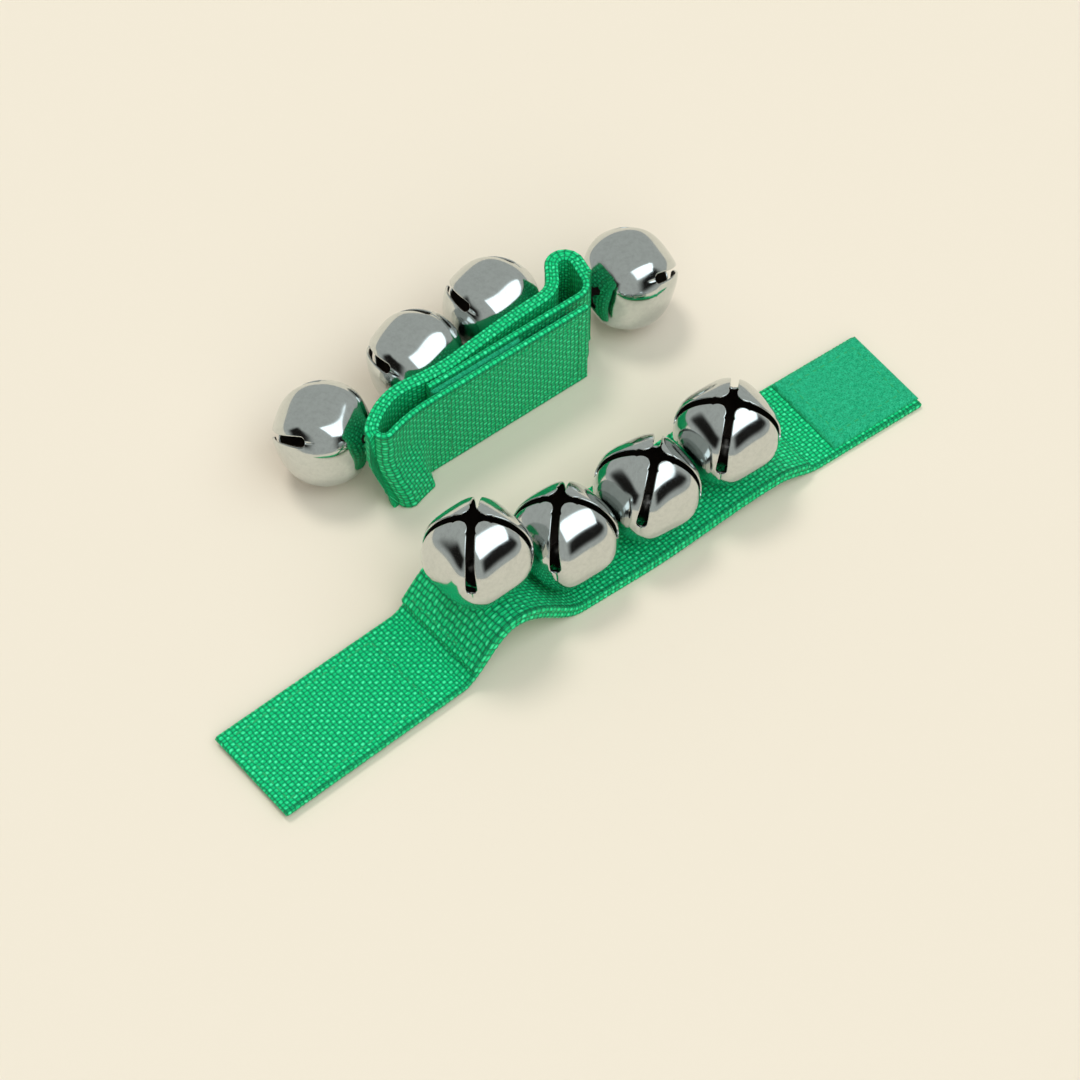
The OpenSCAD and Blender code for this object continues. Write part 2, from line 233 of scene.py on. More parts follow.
def make_floor():
    """Cream paper, a hair under the object so that their faces don't coincide."""
    size = 3.0
    mesh = bpy.data.meshes.new("floor")
    corners = [(-size, -size, 0), (size, -size, 0), (size, size, 0), (-size, size, 0)]
    mesh.from_pydata(corners, [], [(0, 1, 2, 3)])
    floor = bpy.data.objects.new("floor", mesh)
    bpy.context.scene.collection.objects.link(floor)
    floor.location.z = -0.00005
    material = bpy.data.materials.new("floor_paper")
    material.use_nodes = True
    n = Nodes(material.node_tree)
    shader = n.add("ShaderNodeBsdfDiffuse")
    shader.inputs["Color"].default_value = (0.80, 0.715, 0.595, 1)
    out = n.add("ShaderNodeOutputMaterial")
    n.put(out.inputs["Surface"], shader.outputs[0])
    mesh.materials.append(material)


# ---- Materials ----


def new_material(name):
    material = bpy.data.materials.new(name)
    material.use_nodes = True
    n = Nodes(material.node_tree)
    shader = n.add("ShaderNodeBsdfPrincipled")
    out = n.add("ShaderNodeOutputMaterial")
    n.put(out.inputs["Surface"], shader.outputs[0])
    return material, n, shader


def bumped(n, shader, height, distance, strength=1.0, after=None):
    bump = n.add("ShaderNodeBump")
    bump.inputs["Strength"].default_value = strength
    bump.inputs["Distance"].default_value = distance
    n.put(bump.inputs["Height"], height)
    if after is not None:
        n.put(bump.inputs["Normal"], after)
    n.put(shader.inputs["Normal"], bump.outputs[0])
    return bump.outputs[0]


YARN_PITCH_ALONG, YARN_PITCH_ACROSS = 1.10, 0.94


def webbing_material():
    """Coarse plain weave of glossy nylon yarn. The UV map holds millimetres along and across the strap."""
    material, n, shader = new_material("webbing")
    uv = n.add("ShaderNodeUVMap", uv_map="strap").outputs[0]
    wobble = n.noise(uv, 0.35, 1.0)
    u, v, _ = n.parts(uv)
    shift = n.math("MULTIPLY", n.math("SUBTRACT", wobble, 0.5), 0.9)
    a = n.math("MULTIPLY", n.math("ADD", u, shift), math.pi / YARN_PITCH_ALONG)
    b = n.math("MULTIPLY", v, math.pi / YARN_PITCH_ACROSS)
    crossing = n.math("MULTIPLY", n.math("SINE", a), n.math("SINE", b))
    warp = n.math("POWER", n.math("MAXIMUM", crossing, 0.0), 0.5)
    weft = n.math("POWER", n.math("MAXIMUM", n.math("MULTIPLY", crossing, -1.0), 0.0), 0.5)
    crown = n.math("MAXIMUM", warp, n.math("MULTIPLY", weft, 0.52))
    filaments = n.noise(n.stretched(uv, (1.2, 14.0, 1.0)), 1.0, 2.0)
    patchy = n.noise(uv, 1.1, 2.0)
    height = n.math("ADD", crown, n.math("MULTIPLY", filaments, 0.22))
    depth = n.math("MULTIPLY", crown, n.math("ADD", 0.70, n.math("MULTIPLY", patchy, 0.6)), clamp=True)
    # Painted light: the valley colour is painted shade in the weave's hollows, and the glint colour is a
    # painted highlight on the high crowns.
    painted_valley_shade = (0.0, 0.17, 0.072, 1)
    yarn = (0.0, 0.64, 0.215, 1)
    painted_glint = (0.07, 0.92, 0.42, 1)
    colour = n.mix(n.ramp(depth, 0.05, 0.60), painted_valley_shade, yarn)
    # Where the painted highlight goes: on the highest crowns, in patches.
    painted_glint_mask = n.math("MULTIPLY", n.ramp(depth, 0.60, 1.0), n.ramp(patchy, 0.34, 0.60))
    colour = n.mix(painted_glint_mask, colour, painted_glint)
    n.put(shader.inputs["Base Color"], colour)
    n.put(shader.inputs["Roughness"], n.math("ADD", 0.42, n.math("MULTIPLY", filaments, 0.2)))
    shader.inputs["Specular IOR Level"].default_value = 0.25
    shader.inputs["Sheen Weight"].default_value = 0.05
    shader.inputs["Sheen Roughness"].default_value = 0.4
    shader.inputs["Sheen Tint"].default_value = (0.4, 1.0, 0.6, 1)
    bumped(n, shader, height, 0.00030)
    return material


def pile_material():
    """Felt-like loop pile: paler and mottled, lighter on the high curls as a painted glint."""
    material, n, shader = new_material("pile")
    uv = n.add("ShaderNodeUVMap", uv_map="strap").outputs[0]
    curls = n.noise(uv, 2.6, 4.0, 0.65)
    clumps = n.noise(uv, 0.9, 2.0)
    mix = n.math("ADD", n.math("MULTIPLY", curls, 0.7), n.math("MULTIPLY", clumps, 0.3))
    # The lighter colour follows the curls' bump height: a painted glint on the high curls, over a random
    # mottle from the clumps.
    colour = n.mix(n.ramp(mix, 0.36, 0.64), (0.0, 0.32, 0.135, 1), (0.03, 0.60, 0.30, 1))
    n.put(shader.inputs["Base Color"], colour)
    shader.inputs["Roughness"].default_value = 0.85
    shader.inputs["Specular IOR Level"].default_value = 0.2
    shader.inputs["Sheen Weight"].default_value = 0.12
    shader.inputs["Sheen Roughness"].default_value = 0.5
    shader.inputs["Sheen Tint"].default_value = (0.6, 1.0, 0.8, 1)
    bumped(n, shader, curls, 0.0005)
    return material


def hook_material():
    """Stiff hook tape: a fine grid of hooks, with painted shade darkening the ground between them."""
    material, n, shader = new_material("hook_tape")
    uv = n.add("ShaderNodeUVMap", uv_map="strap").outputs[0]
    u, v, _ = n.parts(uv)
    dots = n.math(
        "MULTIPLY",
        n.math("ABSOLUTE", n.math("SINE", n.math("MULTIPLY", u, math.pi / 1.1))),
        n.math("ABSOLUTE", n.math("SINE", n.math("MULTIPLY", v, math.pi / 1.4))),
    )
    fuzz = n.noise(uv, 3.0, 2.0)
    tips = n.ramp(n.math("ADD", dots, n.math("MULTIPLY", fuzz, 0.3)), 0.75, 1.0)
    # The dark colour is painted shade on the ground between the raised hook tips.
    n.put(shader.inputs["Base Color"], n.mix(tips, (0.0, 0.16, 0.06, 1), (0.02, 0.42, 0.17, 1)))
    shader.inputs["Roughness"].default_value = 0.5
    bumped(n, shader, tips, 0.0004)
    return material


def thread_material():
    """Twisted sewing thread."""
    material, n, shader = new_material("thread")
    place = n.add("ShaderNodeTexCoord").outputs["Object"]
    twist = n.noise(n.stretched(place, (1000.0, 1000.0, 1000.0)), 3.0, 2.0)
    n.put(shader.inputs["Base Color"], n.mix(twist, (0.0, 0.26, 0.085, 1), (0.03, 0.52, 0.19, 1)))
    shader.inputs["Roughness"].default_value = 0.5
    bumped(n, shader, twist, 0.0001)
    return material


def nickel_material():
    """Polished nickel plate with the faint waviness and smears of stamped sheet."""
    material, n, shader = new_material("nickel")
    place = n.add("ShaderNodeTexCoord").outputs["Object"]
    waves = n.noise(place, 160.0, 1.0)
    smears = n.noise(place, 900.0, 4.0, 0.7)
    shader.inputs["Metallic"].default_value = 1.0
    colour = n.mix(n.ramp(smears, 0.35, 0.75), (0.63, 0.665, 0.65, 1), (0.56, 0.59, 0.575, 1))
    n.put(shader.inputs["Base Color"], colour)
    n.put(shader.inputs["Roughness"], n.math("ADD", 0.075, n.math("MULTIPLY", smears, 0.08)))
    bumped(n, shader, waves, 0.0003, 0.10)
    return material


def bell_inside_material():
    """The dark brown inside of the shell."""
    material, n, shader = new_material("bell_inside")
    place = n.add("ShaderNodeTexCoord").outputs["Object"]
    stains = n.noise(place, 500.0, 3.0)
    shader.inputs["Metallic"].default_value = 0.6
    n.put(shader.inputs["Base Color"], n.mix(stains, (0.018, 0.013, 0.010, 1), (0.06, 0.042, 0.03, 1)))
    shader.inputs["Roughness"].default_value = 0.55
    bumped(n, shader, stains, 0.0001)
    return material


def steel_material():
    """The dull steel of the pellets."""
    material, n, shader = new_material("steel")
    place = n.add("ShaderNodeTexCoord").outputs["Object"]
    pits = n.noise(place, 1200.0, 3.0)
    shader.inputs["Metallic"].default_value = 1.0
    n.put(shader.inputs["Base Color"], n.mix(pits, (0.16, 0.15, 0.14, 1), (0.34, 0.32, 0.30, 1)))
    n.put(shader.inputs["Roughness"], n.math("ADD", 0.25, n.math("MULTIPLY", pits, 0.2)))
    bumped(n, shader, pits, 0.00005)
    return material


def cord_material():
    """Dark green keeper cord."""
    material, n, shader = new_material("cord")
    place = n.add("ShaderNodeTexCoord").outputs["Object"]
    strands = n.noise(n.stretched(place, (900.0, 2400.0, 2400.0)), 1.0, 2.0)
    n.put(shader.inputs["Base Color"], n.mix(strands, (0.0, 0.08, 0.03, 1), (0.0, 0.20, 0.075, 1)))
    shader.inputs["Roughness"].default_value = 0.6
    bumped(n, shader, strands, 0.0002)
    return material


# ---- Shape of the open band ----


def hump(u):
    """1 at the middle, falling smoothly to 0 at 1 and -1."""
    return (1 + math.cos(math.pi * u)) / 2


def smooth(t):
    """A smooth step from 0 at 0 to 1 at 1."""
    t = min(1.0, max(0.0, t))
    return t * t * (3 - 2 * t)


def lift(x):
    """Height of the webbing's underside above the ground."""
    if x < ARCH_X - ARCH_RUN_LEFT:
        return PATCH_T
    if x < ARCH_X:
        return PATCH_T + (ARCH_H - PATCH_T) * hump((ARCH_X - x) / ARCH_RUN_LEFT)
    if x < ARCH_X + ARCH_RUN_RIGHT:
        return ARCH_H * hump((x - ARCH_X) / ARCH_RUN_RIGHT)
    if x < RISE_X:
        return 0.0
    if x < RISE_TOP_X:
        return RISE_H * hump((RISE_TOP_X - x) / (RISE_TOP_X - RISE_X))
    if x < RISE_END_X:
        return RISE_H * hump((x - RISE_TOP_X) / (RISE_END_X - RISE_TOP_X))
    return 0.0


def slope(x):
    return math.atan((lift(x + 0.01) - lift(x - 0.01)) / 0.02)


def skewed(points, amount=1.0):
    """Swings points out of line about the first flex line."""
    a = math.radians(TAIL_SKEW) * amount
    turn = np.array([[math.cos(a), -math.sin(a), 0], [math.sin(a), math.cos(a), 0], [0, 0, 1]])
    pivot = np.array([FLEX_X[0], 0, 0])
    return (np.asarray(points, float) - pivot) @ turn.T + pivot


def open_frame(x, rigid=False):
    """(point on the underside, direction along, direction across, direction up) at x. A rigid frame has
    the whole skew right beside the first flex line, as the CAD bodies have it."""
    a = slope(x)
    point = np.array([x, 0.0, lift(x)])
    along = np.array([math.cos(a), 0.0, math.sin(a)])
    up = np.array([-math.sin(a), 0.0, math.cos(a)])
    across = np.array([0.0, 1.0, 0.0])
    amount = float(x < FLEX_X[0]) if rigid else smooth((FLEX_X[0] + SKEW_EASE - x) / (2 * SKEW_EASE))
    if amount > 0:
        point = skewed(point, amount)
        origin = skewed(np.zeros(3), amount)
        along, across, up = (skewed(d, amount) - origin for d in (along, across, up))
    return point, along, across, up


# ---- Shape of the closed band ----


def chord(length, turn):
    t = math.radians(turn)
    return length if turn == 0 else length * math.sin(t / 2) / (t / 2)


def along_arc(p, heading, length, turn):
    c, a = chord(length, turn), math.radians(heading + turn / 2)
    return (p[0] + c * math.cos(a), p[1] + c * math.sin(a))


def loop_stretches():
    """The closed band's stretches, with the straight side as long as the layers' distance asks."""
    p, heading = LOOP_START, LOOP_HEADING
    for length, turn in LOOP_ROUND:
        p, heading = along_arc(p, heading, length, turn), heading + turn
    a, h = math.radians(LOOP_HEADING), math.radians(heading)
    inward = (math.sin(a), -math.cos(a))
    q = along_arc(p, heading, *LAST_TURN)
    wanted = WEBBING_T + 2 * PATCH_T + PATCH_GAP
    reached = (q[0] - LOOP_START[0]) * inward[0] + (q[1] - LOOP_START[1]) * inward[1]
    side = (wanted - reached) / (math.cos(h) * inward[0] + math.sin(h) * inward[1])
    return LOOP_ROUND + [(side, 0), LAST_TURN, (INNER_END_LEN, 0)]


LOOP_STRETCHES = loop_stretches()
LOOP_LEN = sum(length for length, _ in LOOP_STRETCHES)


def loop_at(s):
    p, heading, start = LOOP_START, LOOP_HEADING, 0.0
    for length, turn in LOOP_STRETCHES:
        if s <= start + length + 1e-9:
            t = turn * (s - start) / length
            return along_arc(p, heading, s - start, t), heading + t
        p, heading, start = along_arc(p, heading, length, turn), heading + turn, start + length
    return p, heading


def outside(s, out):
    (x, y), heading = loop_at(s)
    a = math.radians(heading)
    return np.array([x - out * math.sin(a), y + out * math.cos(a)])


def closed_frame(s):
    """(point at half the strap's width, along, across = down the strap's width, outward) at s."""
    p = outside(s, 0.0)
    d = outside(s + 0.2, 0.0) - outside(s - 0.2, 0.0)
    d = d / np.linalg.norm(d)
    point = np.array([p[0], p[1], WEBBING_W / 2])
    return point, np.array([d[0], d[1], 0.0]), np.array([0.0, 0.0, -1.0]), np.array([-d[1], d[0], 0.0])


BULGE_MOVE = np.array([3.4, -3.4, 0.0])


def bulge(s, v, _):
    """The (across, outward, along) move of the left fold, whose lower rim is pushed forward."""
    amount = smooth((s - 45.5) / 6) * smooth((71 - s) / 10) * smooth((v + 4) / 18)
    _, along, _, up = closed_frame(s)
    move = BULGE_MOVE * amount
    return 0.0, float(move @ up), float(move @ along)


# ---- Mesh building ----


def add_object(name, vertices, faces, material_list, uvs=None, sharp_below=0, sharp_from=None):
    """A mesh object from points in the CAD model's millimetres. Edges between the first or the last
    points, below sharp_below or from sharp_from on, are sharp."""
    mesh = bpy.data.meshes.new(name)
    points = (np.asarray(vertices, float) + CENTRE) * MM
    mesh.from_pydata(points.tolist(), [], faces)
    for m in material_list:
        mesh.materials.append(m)
    if uvs is not None:
        layer = mesh.uv_layers.new(name="strap")
        loops = np.zeros(len(mesh.loops), np.int32)
        mesh.loops.foreach_get("vertex_index", loops)
        layer.data.foreach_set("uv", np.asarray(uvs, np.float32)[loops].ravel())
    mesh.polygons.foreach_set("use_smooth", [True] * len(mesh.polygons))
    ends = np.zeros(len(mesh.edges) * 2, np.int32)
    mesh.edges.foreach_get("vertices", ends)
    ends = ends.reshape(-1, 2)
    last = len(points) if sharp_from is None else sharp_from
    sharp = (ends.max(1) < sharp_below) | (ends.min(1) >= last)
    mesh.edges.foreach_set("use_edge_sharp", sharp.tolist())
    mesh.update()
    obj = bpy.data.objects.new(name, mesh)
    bpy.context.scene.collection.objects.link(obj)
    return obj


def grid_faces(rows, columns, wrap=False):
    last = columns if wrap else columns - 1
    return [
        (r * columns + c, r * columns + (c + 1) % columns,
         (r + 1) * columns + (c + 1) % columns, (r + 1) * columns + c)
        for r in range(rows - 1)
        for c in range(last)
    ]


MESH_STEP = 0.5
SELVAGE_W, SELVAGE_BEAD, SELVAGE_PITCH = 1.6, 0.16, 1.84


def strap_profile(width, thickness, step=MESH_STEP, bead=0.12):
    """A strap's cross-section: flat faces, and selvages that stand a little proud, as (across, up, rim)."""
    half, r = width / 2, thickness / 2
    count = int(round((width - 2 * r) / step))
    top = [(-half + r + (width - 2 * r) * i / count, thickness, 0.0) for i in range(count + 1)]
    edge = [
        (half - r + r * math.sin(t), thickness / 2 + r * math.cos(t), 1.0)
        for t in (math.pi * k / 8 for k in range(1, 8))
    ]
    under = [(-v, 0.0, 0.0) for v, _, _ in top]
    other = [(-v, thickness - h, rim) for v, h, rim in edge]
    points = top + edge + under + other
    out = []
    for v, h, rim in points:
        near = smooth((abs(v) - (half - SELVAGE_W)) / (SELVAGE_W / 2))
        swell = bead * near
        up = 1.0 if h > thickness / 2 + 1e-6 else (-1.0 if h < thickness / 2 - 1e-6 else 0.0)
        out.append((v, h + up * swell, rim))
    return out


def strap(name, stations, frame_at, profile, material, low=0.0, shape=None):
    """A strap along stations. shape(s, v, h) returns an extra (across, up, along) move."""
    vertices, uvs = [], []
    across_lengths = [0.0]
    for (v0, h0, _), (v1, h1, _) in zip(profile, profile[1:]):
        across_lengths.append(across_lengths[-1] + math.hypot(v1 - v0, h1 - h0))
    for s in stations:
        point, along, across, up = frame_at(s)
        for (v, h, rim), q in zip(profile, across_lengths):
            dv, dh, ds = shape(s, v, h) if shape else (0.0, 0.0, 0.0)
            beads = SELVAGE_BEAD * rim * math.sin(2 * math.pi * s / SELVAGE_PITCH)
            out = math.copysign(beads, v) if rim else 0.0
            vertices.append(point + along * ds + across * (v + dv + out) + up * (h + low + dh))
            uvs.append((s, q))
    count = len(profile)
    faces = grid_faces(len(stations), count, wrap=True)
    last = (len(stations) - 1) * count
    faces.append(tuple(reversed(range(count))))
    faces.append(tuple(range(last, last + count)))
    return add_object(name, vertices, faces, [material], uvs=uvs, sharp_below=count, sharp_from=last)


def steps(a, b, step=MESH_STEP):
    """Evenly spaced places from a to b, no further apart than step."""
    n = max(2, int(math.ceil(abs(b - a) / step)))
    return [a + (b - a) * i / n for i in range(n + 1)]


def rounded_end(end, radius=0.6):
    """Extra shape for a strap's cut end: the layer thins and draws in over the last bit."""

    def shape(s, v, h):
        d = abs(s - end)
        if d >= radius:
            return 0.0, 0.0, 0.0
        t = 1 - math.sqrt(max(0.0, 1 - (1 - d / radius) ** 2))
        return -v * 0.02 * t, (WEBBING_T / 2 - h) * 0.75 * t, 0.0

    return shape


# ---- Stitching ----


def stitches(name, runs, material, pitch=2.3, length=1.75, radius=0.2):
    """Rows of stitches. A run is a list of (point, normal) and each stitch is a bowed capsule on it."""
    vertices, faces = [], []
    ring = 8
    for run in runs:
        points = np.array([p for p, _ in run])
        normals = np.array([q for _, q in run])
        gaps = np.linalg.norm(np.diff(points, axis=0), axis=1)
        at = np.concatenate([[0.0], np.cumsum(gaps)])
        count = max(1, int(at[-1] / pitch))
        real_pitch = at[-1] / count

        def place(d):
            return (
                np.array([np.interp(d, at, points[:, k]) for k in range(3)]),
                np.array([np.interp(d, at, normals[:, k]) for k in range(3)]),
            )

        for i in range(count):
            middle = (i + 0.5) * real_pitch
            base = len(vertices)
            rings = 7
            for k in range(rings):
                t = -1 + 2 * k / (rings - 1)
                at_ring = middle + t * length / 2
                p, up = place(at_ring)
                forward = place(at_ring + 0.05)[0] - place(at_ring - 0.05)[0]
                forward = forward / (np.linalg.norm(forward) + 1e-9)
                side = np.cross(up, forward)
                size = radius * math.sqrt(max(0.02, 1 - (abs(t) ** 3) * 0.98))
                bow = 0.16 * (1 - t * t) - 0.10
                for j in range(ring):
                    a = 2 * math.pi * j / ring
                    vertices.append(p + up * (bow + size * math.sin(a)) + side * size * 1.1 * math.cos(a))
            faces += [tuple(base + m for m in f) for f in grid_faces(rings, ring, wrap=True)]
            faces.append(tuple(reversed([base + j for j in range(ring)])))
            faces.append(tuple(base + (rings - 1) * ring + j for j in range(ring)))
    return add_object(name, vertices, faces, [material])


def surface_run(frame_at, corners, h, step=0.8):
    """(point, normal) pairs along straight lines between (s, across) corners on a strap's face."""
    run = []
    for (s0, v0), (s1, v1) in zip(corners, corners[1:]):
        n = max(1, int(math.hypot(s1 - s0, v1 - v0) / step))
        for i in range(n + 1):
            s, v = s0 + (s1 - s0) * i / n, v0 + (v1 - v0) * i / n
            point, _, across, up = frame_at(s)
            run.append((point + across * v + up * h, up if h > 0 else -up))
    return run


# ---- Patches ----


def patch(name, s_from, s_to, width, low, high, frame_at, material, fuzz, seed, shift=0.0):
    """A hook or pile patch: a soft-edged pad with an uneven face."""
    step = 0.4
    ss = steps(s_from, s_to, step)
    vs = steps(-width / 2, width / 2, step)
    rough = np.random.default_rng(seed).random((len(ss), len(vs)))
    vertices, uvs = [], []
    for i, s in enumerate(ss):
        point, _, across, up = frame_at(s)
        for j, v in enumerate(vs):
            edge = min(s - s_from, s_to - s, v + width / 2, width / 2 - v)
            soft = math.sqrt(min(1.0, max(0.0, edge / 0.8)))
            thick = (high - low) * (0.25 + 0.75 * soft)
            height = low + thick + math.copysign(fuzz * (rough[i, j] - 0.5) * soft, high - low)
            vertices.append(point + across * (v + shift) + up * height)
            uvs.append((s, v))
    top = len(vertices)
    for s in ss:
        point, _, across, up = frame_at(s)
        for v in vs:
            vertices.append(point + across * (v + shift) + up * low)
            uvs.append((s, v))
    rows, columns = len(ss), len(vs)
    upper = grid_faces(rows, columns)
    lower = [tuple(top + k for k in reversed(f)) for f in grid_faces(rows, columns)]
    rim = []
    border = (
        [(i, 0) for i in range(rows)]
        + [(rows - 1, j) for j in range(1, columns)]
        + [(i, columns - 1) for i in range(rows - 2, -1, -1)]
        + [(0, j) for j in range(columns - 2, 0, -1)]
    )
    for (i0, j0), (i1, j1) in zip(border, border[1:] + border[:1]):
        p, q = i0 * columns + j0, i1 * columns + j1
        rim.append((p, q, top + q, top + p))
    faces = upper + lower + rim
    if high > low:
        faces = [tuple(reversed(f)) for f in faces]
    return add_object(name, vertices, faces, [material], uvs=uvs)


# ---- Bells ----

TIP_CIRCLE_R = 2.2
TIP_CIRCLE_X = SLOT_HALF * math.sqrt(2) + TIP_CIRCLE_R * math.sqrt(2)


def soft_min(a, b, k):
    """The smaller of two lengths, with a fillet of about k where they cross."""
    h = max(0.0, min(1.0, 0.5 + 0.5 * (b - a) / k))
    return b + (a - b) * h - k * h * (1 - h)


def shell_radius(phi, el):
    """Distance from the bell's middle to its outer face, for a turn phi from a petal's middle line."""
    height = BELL_TIP if el >= 0 else BELL_R + 0.2
    arch_off = (height ** 2 - BELL_R ** 2) / (2 * BELL_R)
    arch_r = BELL_R + arch_off
    a, z = math.cos(el) * math.cos(phi), math.sin(el)
    q = a * a + z * z
    vault = (-a * arch_off + math.sqrt(a * a * arch_off ** 2 + q * (arch_r ** 2 - arch_off ** 2))) / q
    petal = soft_min(vault, BELL_CORNER_R, 0.9)
    if el >= 0:
        return petal
    return petal + (CUP_R - petal) * smooth((-math.degrees(el) - 34) / 50)


def slot_half_at(el):
    """Half the slot's width at an elevation: rounded at its closed end, then narrowing."""
    z = BELL_CORNER_R * math.sin(el)
    if z <= SLOT_END_Z - SLOT_END_R:
        return 0.0
    if z < SLOT_END_Z:
        return math.sqrt(max(0.0, SLOT_END_R ** 2 - (SLOT_END_Z - z) ** 2))
    return SLOT_HALF + (SLOT_END_R - SLOT_HALF) * (1 - smooth((z - SLOT_END_Z) / 6.0))


def petal_turn(el, inset):
    """How far a petal reaches to each side of its middle line at an elevation, less an inset."""
    half = slot_half_at(el)
    inset = inset * min(1.0, half / 0.5)
    r = BELL_CORNER_R
    for _ in range(3):
        s = (half + inset) / max(1e-6, r * math.cos(el))
        turn = math.pi / 4 - math.asin(min(1.0, s))
        r = shell_radius(turn, el)
    plan = r * math.cos(el)
    if plan < TIP_CIRCLE_X:
        circle = TIP_CIRCLE_R - inset
        cosine = (plan ** 2 + TIP_CIRCLE_X ** 2 - circle ** 2) / (2 * plan * TIP_CIRCLE_X)
        turn = min(turn, math.acos(min(1.0, max(-1.0, cosine))))
    return max(0.0, turn)


SLOT_END_EL = math.asin((SLOT_END_Z - SLOT_END_R) / BELL_CORNER_R)
SLOT_FULL_EL = math.asin(SLOT_END_Z / BELL_CORNER_R)
TIP_EL = math.acos((TIP_CIRCLE_X - TIP_CIRCLE_R) / 12.05)
SEAM_DEPTH, SEAM_HALF, SEAM_LEN = 0.14, 0.22, math.radians(11)
# (inset from the slot's edge, depth below the outer face), from the outer face round the rim
RIM = [(0.22, 0.0), (0.08, 0.03), (0.0, 0.15), (-0.02, 0.30), (0.0, 0.45), (0.08, 0.57), (0.22, 0.60)]


CUP_ROWS, SLOT_ROWS, PETAL_ROWS = 30, 8, 34


def bell_rows():
    """Elevations of a bell's rows of points, closest together at the slots' ends and at the tip."""
    low = [-math.pi / 2 + (SLOT_END_EL + math.pi / 2) * i / CUP_ROWS for i in range(CUP_ROWS)]
    turn = [
        SLOT_END_EL + (SLOT_FULL_EL - SLOT_END_EL) * (1 - math.cos(math.pi / 2 * i / SLOT_ROWS))
        for i in range(SLOT_ROWS)
    ]
    high = [
        SLOT_FULL_EL + (TIP_EL - SLOT_FULL_EL) * math.sin(math.pi / 2 * i / PETAL_ROWS)
        for i in range(PETAL_ROWS + 1)
    ]
    return low + turn + high


def bell_ring(el, spread):
    """(turn from the petal's middle, depth) round one petal: outer face, rim, inner face, rim."""
    reach = [petal_turn(el, inset) for inset, _ in RIM]
    depths = [depth for _, depth in RIM]
    rim = list(zip(reach, depths))[1:-1]
    outer = [(k * reach[0], depths[0]) for k in spread]
    inner = [(k * reach[-1], depths[-1]) for k in reversed(spread)]
    return outer + rim + inner + [(-turn, depth) for turn, depth in reversed(rim)]


def bell_point(phi, depth, el, quarter):
    """A point of the shell, sunk a little where two petals' seam runs on below the slot."""
    r = shell_radius(phi, el)
    from_corner = (math.pi / 4 - abs(phi)) * r * math.cos(el)
    if SLOT_END_EL - SEAM_LEN < el <= SLOT_END_EL and depth < 0.1:
        fade = smooth((el - SLOT_END_EL + SEAM_LEN) / (SEAM_LEN * 0.4))
        r -= SEAM_DEPTH * fade * math.exp(-((from_corner / SEAM_HALF) ** 2))
    r -= depth
    turn = phi + quarter * math.pi / 2
    return (r * math.cos(el) * math.cos(turn), r * math.cos(el) * math.sin(turn), r * math.sin(el))


def bell_mesh(name):
    """A bell about its own middle, petals up, in millimetres: outer face, rims and inner face."""
    rows = bell_rows()
    half_columns = 14
    spread = [math.sin(math.pi / 2 * k / half_columns) for k in range(-half_columns, half_columns + 1)]
    outer, rim = len(spread), len(RIM) - 2
    loop = 2 * (outer + rim)
    first_slot_row = sum(1 for el in rows if el < SLOT_END_EL - 1e-9)
    vertices, faces, marks = [], [], []
    for quarter in range(4):
        start = len(vertices)
        for el in rows:
            vertices += [bell_point(phi, depth, el, quarter) for phi, depth in bell_ring(el, spread)]
        for r in range(len(rows) - 1):
            for c in range(loop):
                in_outer = c < outer - 1
                in_inner = outer + rim <= c < 2 * outer + rim - 1
                if not (in_outer or in_inner) and r < first_slot_row:
                    continue
                d = (c + 1) % loop
                row, above = start + r * loop, start + (r + 1) * loop
                faces.append((row + c, row + d, above + d, above + c))
                # The last strips of the rim belong to the inside
                marks.append(1 if outer + 3 < c < 2 * outer + rim else 0)
    mesh = bpy.data.meshes.new(name)
    mesh.from_pydata([tuple(x * MM for x in v) for v in vertices], [], faces)
    mesh.polygons.foreach_set("material_index", marks)
    bm = bmesh.new()
    bm.from_mesh(mesh)
    bmesh.ops.remove_doubles(bm, verts=bm.verts, dist=2e-6)
    bmesh.ops.dissolve_degenerate(bm, edges=bm.edges, dist=1e-7)
    loose = [v for v in bm.verts if not v.link_faces]
    bmesh.ops.delete(bm, geom=loose, context="VERTS")
    bmesh.ops.recalc_face_normals(bm, faces=bm.faces)
    bm.to_mesh(mesh)
    bm.free()
    mesh.polygons.foreach_set("use_smooth", [True] * len(mesh.polygons))
    mesh.update()
    return mesh


def rotation(axis, degrees):
    return Matrix.Rotation(math.radians(degrees), 4, axis)


def placed(point):
    return Matrix.Translation(Vector((np.asarray(point, float) + CENTRE) * MM))


def open_bell_matrix(i):
    point, along, across, up = open_frame(OPEN_BELL_X[i], rigid=True)
    nod_x, nod_y = OPEN_BELL_NOD[i]
    middle = placed(point + across * OPEN_BELL_Y[i] + up * BELL_Z)
    turn = Matrix((along, across, up)).transposed().to_4x4()
    return middle @ turn @ rotation("Y", nod_y) @ rotation("X", nod_x)


def closed_bell_matrix(i):
    p = outside(CLOSED_BELL_S[i], BELL_Z - WEBBING_T / 2)
    azimuth, elevation = CLOSED_BELL_AIM[i]
    return (
        placed((p[0], p[1], WEBBING_W / 2))
        @ rotation("Z", azimuth)
        @ rotation("Y", 90 - elevation)
        @ rotation("Z", CLOSED_BELL_ROLL[i])
    )


# ---- The pair ----

make_camera()
make_world()
make_sun("key", 1.0, 18, (-0.02, 0.42, 1.0))
make_sun("fill", 1.1, 60, (-0.30, -0.85, 0.75))
make_floor()

WEBBING = webbing_material()
PILE = pile_material()
HOOK = hook_material()
THREAD = thread_material()
NICKEL = nickel_material()
INSIDE = bell_inside_material()
STEEL = steel_material()
CORD = cord_material()


def blend_at(piece):
    """Bakes the piece's placement into its mesh."""
    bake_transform(piece)


def stands_for(piece, slot, *nodes):
    """Hides the CAD nodes that a piece replaces."""
    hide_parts(*nodes)


